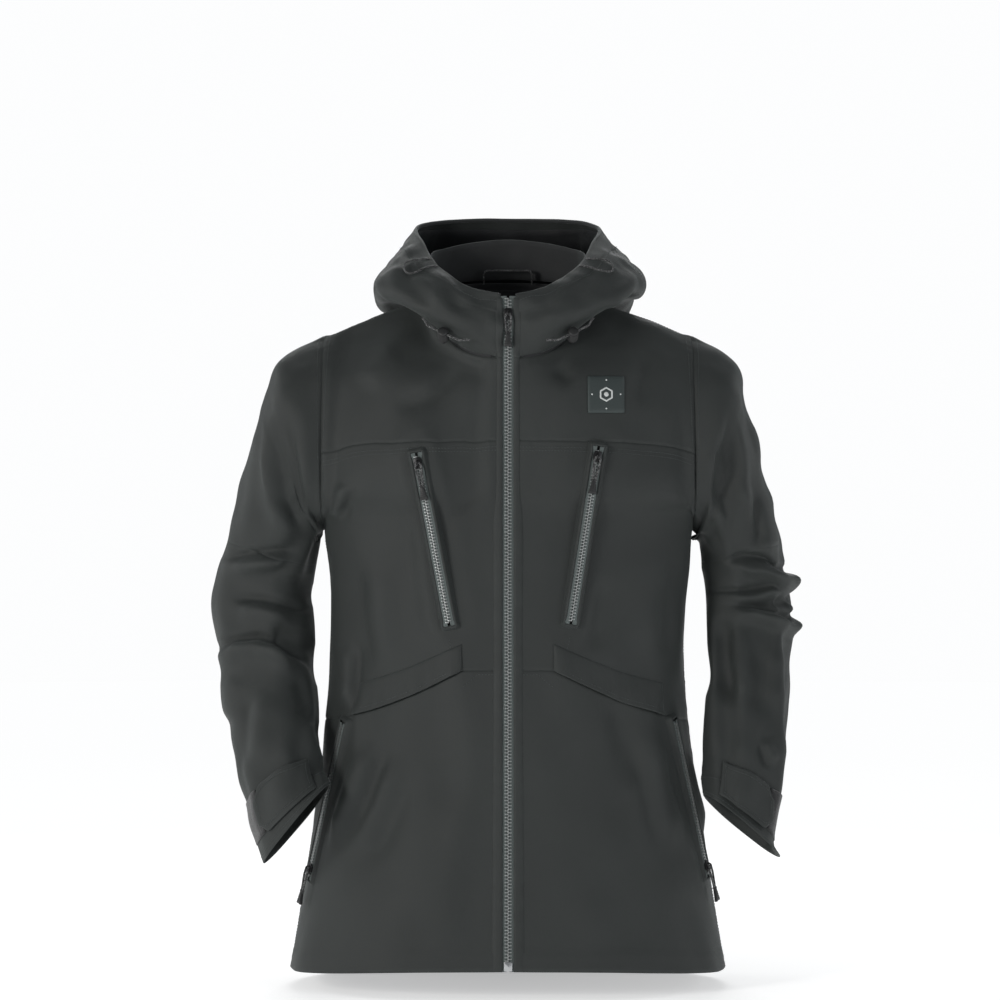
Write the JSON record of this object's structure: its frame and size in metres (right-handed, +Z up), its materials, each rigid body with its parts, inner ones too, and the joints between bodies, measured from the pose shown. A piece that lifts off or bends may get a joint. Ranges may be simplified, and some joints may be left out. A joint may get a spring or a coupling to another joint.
{
  "type": "ski jacket",
  "caption": "Hooded waterproof ski shell jacket with front zip, slanted chest pocket zips, hip pocket flaps, hand pocket zips and hook-and-loop cuff tabs, shown as worn.",
  "frame": {"origin": "centre of the back hem, on its flat bottom edge", "axes": "+Z up to the hood, -Y to the wearer's front, +X to the wearer's left"},
  "size_m": [0.6662, 0.3425, 0.8622],
  "materials": {
    "shell_fabric": "matt woven face with a fine weave",
    "lining_fabric": "smooth matt",
    "zip_tape": "ribbed tape",
    "zip_teeth": "moulded, satin",
    "dark_metal": "dark lacquer",
    "moulded_grip": "matt",
    "flecked_cord": "braided, with pale flecks",
    "hook_and_loop": "brushed loops",
    "badge_rubber": "matt moulded"
  },
  "bodies": {
    "torso": {"back_panel": "shell_fabric", "back_yoke": "shell_fabric", "body_lining": "lining_fabric", "chest_badge": "badge_rubber", "collar": "shell_fabric", "hanger_loop": "flecked_cord", "hem_drawcord": "flecked_cord", "left_chest_panel": "shell_fabric", "left_chest_pocket_bag": "lining_fabric", "left_chest_zip_tape": "zip_tape", "left_chest_zip_teeth": "zip_teeth", "left_front_yoke": "shell_fabric", "left_hand_pocket_bag": "lining_fabric", "left_hand_zip_tape": "zip_tape", "left_hand_zip_teeth": "zip_teeth", "left_hood_drawcord": "flecked_cord", "left_hood_side": "shell_fabric", "left_lower_panel": "shell_fabric", "main_zip_bottom_box": "dark_metal", "main_zip_tape_left": "zip_tape", "main_zip_tape_right": "zip_tape", "main_zip_teeth_left": "zip_teeth", "main_zip_teeth_right": "zip_teeth", "powder_skirt": "lining_fabric", "right_chest_panel": "shell_fabric", "right_chest_pocket_bag": "lining_fabric", "right_chest_zip_tape": "zip_tape", "right_chest_zip_teeth": "zip_teeth", "right_front_yoke": "shell_fabric", "right_hand_pocket_bag": "lining_fabric", "right_hand_zip_tape": "zip_tape", "right_hand_zip_teeth": "zip_teeth", "right_hood_drawcord": "flecked_cord", "right_hood_side": "shell_fabric", "right_lower_panel": "shell_fabric"},
    "main_slider": {"main_zip_slider": "dark_metal"},
    "main_pull": {"main_zip_pull": "moulded_grip"},
    "hood": {"hood_shell": "shell_fabric"},
    "right_chest_slider": {"right_chest_zip_slider": "dark_metal"},
    "right_chest_pull": {"right_chest_zip_pull": "flecked_cord"},
    "right_hand_slider": {"right_hand_zip_slider": "dark_metal"},
    "right_hand_pull": {"right_hand_zip_pull": "flecked_cord"},
    "right_flap": {"right_pocket_flap": "shell_fabric"},
    "right_cord_lock": {"right_hood_barrel": "moulded_grip"},
    "right_lock_button": {"right_hood_button": "moulded_grip"},
    "right_upper_arm": {"right_upper_sleeve": "shell_fabric"},
    "right_forearm": {"right_forearm_sleeve": "shell_fabric", "right_cuff_loop_patch": "hook_and_loop"},
    "right_tab": {"right_cuff_tab": "shell_fabric"},
    "left_chest_slider": {"left_chest_zip_slider": "dark_metal"},
    "left_chest_pull": {"left_chest_zip_pull": "flecked_cord"},
    "left_hand_slider": {"left_hand_zip_slider": "dark_metal"},
    "left_hand_pull": {"left_hand_zip_pull": "flecked_cord"},
    "left_flap": {"left_pocket_flap": "shell_fabric"},
    "left_cord_lock": {"left_hood_barrel": "moulded_grip"},
    "left_lock_button": {"left_hood_button": "moulded_grip"},
    "left_upper_arm": {"left_upper_sleeve": "shell_fabric"},
    "left_forearm": {"left_forearm_sleeve": "shell_fabric", "left_cuff_loop_patch": "hook_and_loop"},
    "left_tab": {"left_cuff_tab": "shell_fabric"}
  },
  "joints": [
    {"name": "main_slider_run", "type": "slide", "parent": "torso", "child": "main_slider", "axis": [0, -0.0571, -0.9984], "range_m": [0, 0.69]},
    {"name": "main_pull_swing", "type": "hinge", "parent": "main_slider", "child": "main_pull", "pos_m": [0, -0.25953, 0.74528], "axis": [-1, 0, 0], "range_deg": [0, 150]},
    {"name": "right_chest_slider_run", "type": "slide", "parent": "torso", "child": "right_chest_slider", "axis": [0.188, -0.0253, -0.9818], "range_m": [0, 0.1592]},
    {"name": "right_chest_pull_swing", "type": "hinge", "parent": "right_chest_slider", "child": "right_chest_pull", "pos_m": [-0.09869, -0.27522, 0.5821], "axis": [-0.971, 0.1458, -0.1896], "range_deg": [0, 150]},
    {"name": "right_hand_slider_run", "type": "slide", "parent": "torso", "child": "right_hand_slider", "axis": [0.215, -0.1241, 0.9687], "range_m": [0, 0.1576]},
    {"name": "right_hand_pull_swing", "type": "hinge", "parent": "right_hand_slider", "child": "right_hand_pull", "pos_m": [-0.2227, -0.20457, 0.13292], "axis": [-0.4515, 0.8669, 0.2113], "range_deg": [0, 150]},
    {"name": "right_flap_lift", "type": "hinge", "parent": "torso", "child": "right_flap", "pos_m": [-0.05495, -0.28784, 0.38487], "axis": [-0.8847, 0.3293, -0.3299], "range_deg": [0, 75]},
    {"name": "right_lock_run", "type": "slide", "parent": "torso", "child": "right_cord_lock", "axis": [0.832, -0.3824, -0.4019], "range_m": [-0.012, 0.012]},
    {"name": "right_lock_press", "type": "slide", "parent": "right_cord_lock", "child": "right_lock_button", "axis": [-0.0795, -0.7991, 0.5959], "range_m": [0, 0.003], "stiffness_N_per_m": 400},
    {"name": "right_shoulder", "type": "hinge", "parent": "torso", "child": "right_upper_arm", "pos_m": [-0.205, -0.147, 0.69], "axis": [0, 1, 0], "range_deg": [0, 35]},
    {"name": "right_elbow", "type": "hinge", "parent": "right_upper_arm", "child": "right_forearm", "pos_m": [-0.2795, -0.126, 0.43], "axis": [-0.8132, -0.5628, 0.1486], "range_deg": [-25, 7]},
    {"name": "right_tab_lift", "type": "hinge", "parent": "right_forearm", "child": "right_tab", "pos_m": [-0.21799, -0.26361, 0.26244], "axis": [-0.2526, 0.5357, 0.8057], "range_deg": [0, 60]},
    {"name": "left_chest_slider_run", "type": "slide", "parent": "torso", "child": "left_chest_slider", "axis": [-0.156, -0.0256, -0.9874], "range_m": [0, 0.163]},
    {"name": "left_chest_pull_swing", "type": "hinge", "parent": "left_chest_slider", "child": "left_chest_pull", "pos_m": [0.0979, -0.27513, 0.58903], "axis": [-0.9766, -0.1461, 0.1581], "range_deg": [0, 150]},
    {"name": "left_hand_slider_run", "type": "slide", "parent": "torso", "child": "left_hand_slider", "axis": [-0.2116, -0.1349, 0.968], "range_m": [0, 0.158]},
    {"name": "left_hand_pull_swing", "type": "hinge", "parent": "left_hand_slider", "child": "left_hand_pull", "pos_m": [0.22408, -0.19984, 0.13557], "axis": [-0.4136, -0.885, -0.2137], "range_deg": [0, 150]},
    {"name": "left_flap_lift", "type": "hinge", "parent": "torso", "child": "left_flap", "pos_m": [0.05495, -0.28784, 0.38487], "axis": [-0.8847, -0.3293, 0.3299], "range_deg": [0, 75]},
    {"name": "left_lock_run", "type": "slide", "parent": "torso", "child": "left_cord_lock", "axis": [0.832, 0.3824, 0.4019], "range_m": [-0.012, 0.012]},
    {"name": "left_lock_press", "type": "slide", "parent": "left_cord_lock", "child": "left_lock_button", "axis": [0.0795, -0.7991, 0.5959], "range_m": [0, 0.003], "stiffness_N_per_m": 400},
    {"name": "left_shoulder", "type": "hinge", "parent": "torso", "child": "left_upper_arm", "pos_m": [0.205, -0.147, 0.69], "axis": [0, -1, 0], "range_deg": [0, 35]},
    {"name": "left_elbow", "type": "hinge", "parent": "left_upper_arm", "child": "left_forearm", "pos_m": [0.2785, -0.124, 0.435], "axis": [-0.8167, 0.5593, -0.1416], "range_deg": [-25, 7]},
    {"name": "left_tab_lift", "type": "hinge", "parent": "left_forearm", "child": "left_tab", "pos_m": [0.23038, -0.23531, 0.25598], "axis": [-0.0438, -0.2881, -0.9566], "range_deg": [0, 60]},
    {"name": "hood_lift", "type": "hinge", "parent": "torso", "child": "hood", "pos_m": [0, -0.12, 0.768], "axis": [1, 0, 0], "range_deg": [0, 15]}
  ]
}
